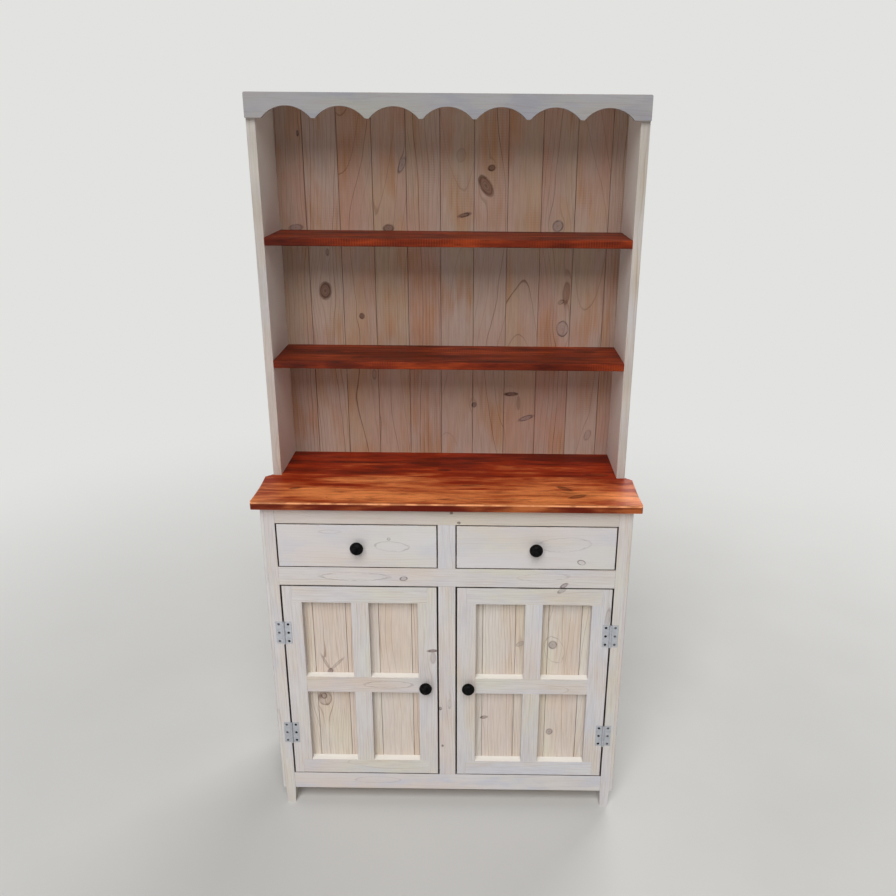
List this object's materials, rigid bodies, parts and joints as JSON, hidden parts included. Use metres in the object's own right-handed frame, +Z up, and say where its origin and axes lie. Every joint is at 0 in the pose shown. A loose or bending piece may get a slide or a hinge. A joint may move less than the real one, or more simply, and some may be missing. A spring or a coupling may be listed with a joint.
{
  "type": "step back cupboard",
  "caption": "Step back cupboard: a base with panelled doors under drawers and an overhanging worktop, and an open hutch with shelves, a boarded back and a scalloped valance.",
  "frame": {"origin": "on the floor, in the middle of the bounding box", "axes": "+Z up, +X to the right seen from the front, +Y towards the back; the doors and drawers face -Y"},
  "size_m": [0.936, 0.382, 1.81],
  "materials": {
    "limed_pine": "matt limewash over pine, grain and knots showing",
    "stained_pine": "red-brown stain under satin varnish",
    "bare_pine": "planed, unfinished",
    "plywood": "unfinished birch face",
    "zinc_plate": "bright zinc plate, slightly dulled",
    "screw_steel": "zinc plated",
    "black_knob": "satin black",
    "catch_plastic": "matt"
  },
  "bodies": {
    "case": {"base_back_boards": "limed_pine", "centre_drawer_runner": "bare_pine", "cupboard_floor": "bare_pine", "cupboard_shelf": "bare_pine", "door_catches": "catch_plastic", "door_divider": "limed_pine", "drawer_divider": "limed_pine", "drawer_kickers": "bare_pine", "frame_hinge_screws": "screw_steel", "front_bottom_rail": "limed_pine", "front_legs": "limed_pine", "front_middle_rail": "limed_pine", "front_top_rail": "limed_pine", "hinge_frame_leaves": "zinc_plate", "hinge_pins": "zinc_plate", "hutch_back_boards": "limed_pine", "hutch_dowels": "bare_pine", "hutch_top": "limed_pine", "left_hutch_side": "limed_pine", "left_side_boards": "limed_pine", "lower_shelf": "stained_pine", "outer_drawer_runners": "bare_pine", "rear_legs": "limed_pine", "rear_rails": "bare_pine", "right_hutch_side": "limed_pine", "right_side_boards": "limed_pine", "side_rails": "bare_pine", "upper_shelf": "stained_pine", "valance": "limed_pine", "worktop_front_boards": "stained_pine", "worktop_rear_boards": "stained_pine"},
    "left_door": {"left_door_boards": "limed_pine", "left_door_catch_plate": "zinc_plate", "left_door_hinge_leaves": "zinc_plate", "left_door_knob": "black_knob", "left_door_muntins": "limed_pine", "left_door_rails": "limed_pine", "left_door_screws": "screw_steel", "left_door_stiles": "limed_pine"},
    "right_door": {"right_door_boards": "limed_pine", "right_door_catch_plate": "zinc_plate", "right_door_hinge_leaves": "zinc_plate", "right_door_knob": "black_knob", "right_door_muntins": "limed_pine", "right_door_rails": "limed_pine", "right_door_screws": "screw_steel", "right_door_stiles": "limed_pine"},
    "left_drawer": {"left_drawer_back": "bare_pine", "left_drawer_bottom": "plywood", "left_drawer_front": "limed_pine", "left_drawer_knob": "black_knob", "left_drawer_knob_screw": "screw_steel", "left_drawer_sides": "bare_pine"},
    "right_drawer": {"right_drawer_back": "bare_pine", "right_drawer_bottom": "plywood", "right_drawer_front": "limed_pine", "right_drawer_knob": "black_knob", "right_drawer_knob_screw": "screw_steel", "right_drawer_sides": "bare_pine"}
  },
  "joints": [
    {"name": "left_door_hinge", "type": "hinge", "parent": "case", "child": "left_door", "pos_m": [-0.4145, -0.1655, 0.3855], "axis": [0, 0, -1], "range_deg": [0, 170]},
    {"name": "right_door_hinge", "type": "hinge", "parent": "case", "child": "right_door", "pos_m": [0.4145, -0.1655, 0.3855], "axis": [0, 0, 1], "range_deg": [0, 170]},
    {"name": "left_drawer_slide", "type": "slide", "parent": "case", "child": "left_drawer", "axis": [0, -1, 0], "range_m": [0, 0.24]},
    {"name": "right_drawer_slide", "type": "slide", "parent": "case", "child": "right_drawer", "axis": [0, -1, 0], "range_m": [0, 0.24]}
  ]
}
